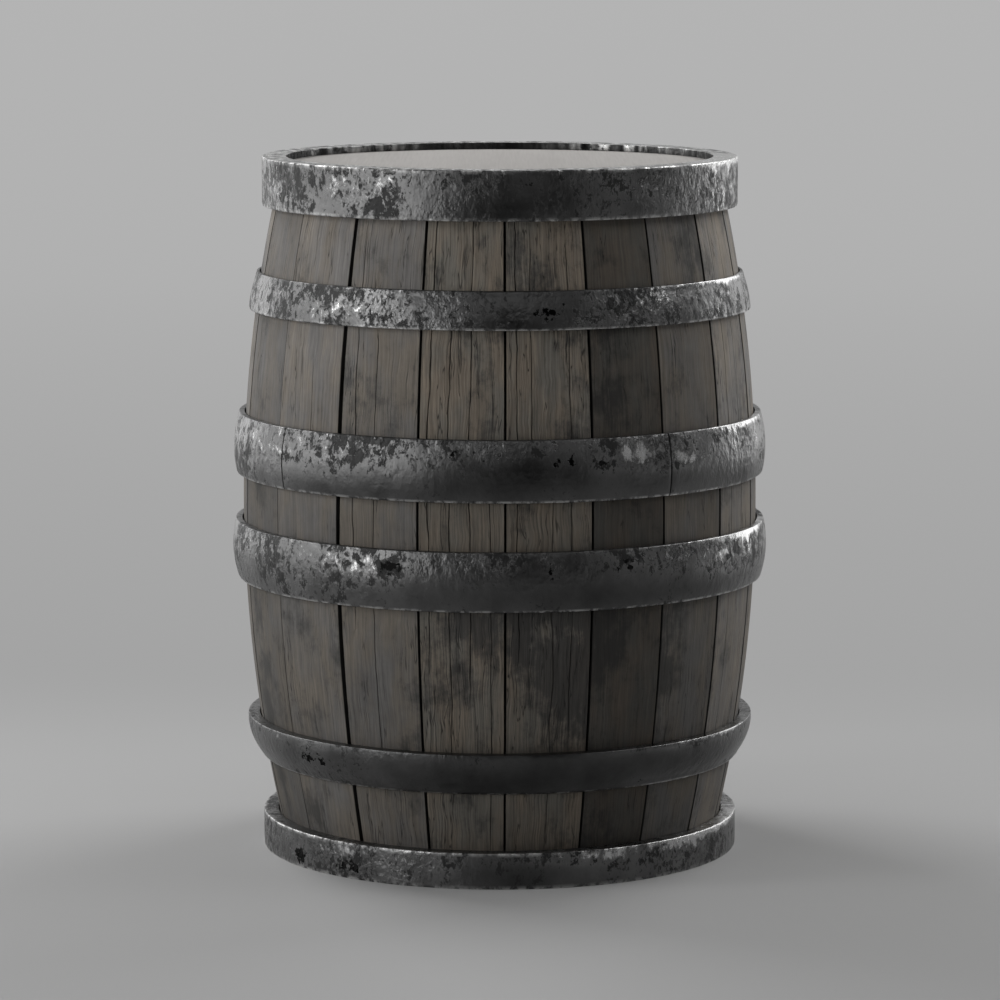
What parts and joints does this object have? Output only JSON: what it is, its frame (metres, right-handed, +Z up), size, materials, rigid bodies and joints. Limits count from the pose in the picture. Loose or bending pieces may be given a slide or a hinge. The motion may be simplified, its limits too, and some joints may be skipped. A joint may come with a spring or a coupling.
{
  "type": "wooden firkin",
  "caption": "Small upright wooden cask of bent staves, bound by crowned iron hoops and rim rings, with sunk boarded heads, a bung in the side and a keystone in the top.",
  "frame": {"origin": "centre of the bottom rim, on the surface that the cask stands on", "axes": "+Z up along the cask's axis, -Y to the front that the picture shows, +X to its right; the bung is in the rear, on +Y"},
  "size_m": [0.4054, 0.4054, 0.524],
  "materials": {
    "weathered_oak": "weathered, dry",
    "pale_oak": "planed, matt",
    "dowel_oak": "turned, plain",
    "plug_oak": "turned, worn",
    "wrought_iron": "worn, pitted"
  },
  "bodies": {
    "cask": {"stave_01": "weathered_oak", "stave_02": "weathered_oak", "stave_03": "weathered_oak", "stave_04": "weathered_oak", "stave_05": "weathered_oak", "stave_06": "weathered_oak", "stave_07": "weathered_oak", "stave_08": "weathered_oak", "stave_09": "weathered_oak", "stave_10": "weathered_oak", "stave_11": "weathered_oak", "stave_12": "weathered_oak", "stave_13": "weathered_oak", "stave_14": "weathered_oak", "stave_15": "weathered_oak", "stave_16": "weathered_oak", "stave_17": "weathered_oak", "stave_18": "weathered_oak", "stave_19": "weathered_oak", "top_rim_hoop": "wrought_iron", "upper_quarter_hoop": "wrought_iron", "upper_bilge_hoop": "wrought_iron", "lower_bilge_hoop": "wrought_iron", "lower_quarter_hoop": "wrought_iron", "bottom_rim_hoop": "wrought_iron", "hoop_rivets": "wrought_iron", "top_head_left_cant": "pale_oak", "top_head_left_board": "pale_oak", "top_head_middle_board": "pale_oak", "top_head_right_board": "pale_oak", "top_head_right_cant": "pale_oak", "bottom_head_left_cant": "pale_oak", "bottom_head_left_board": "pale_oak", "bottom_head_middle_board": "pale_oak", "bottom_head_right_board": "pale_oak", "bottom_head_right_cant": "pale_oak", "top_head_dowels": "dowel_oak", "bottom_head_dowels": "dowel_oak"},
    "bung": {"bung": "plug_oak"},
    "keystone": {"keystone": "plug_oak"}
  },
  "joints": [
    {"name": "bung_pull", "type": "slide", "parent": "cask", "child": "bung", "axis": [0, 1, 0], "range_m": [0, 0.05]},
    {"name": "keystone_pull", "type": "slide", "parent": "cask", "child": "keystone", "axis": [0, 0, 1], "range_m": [0, 0.04]}
  ]
}
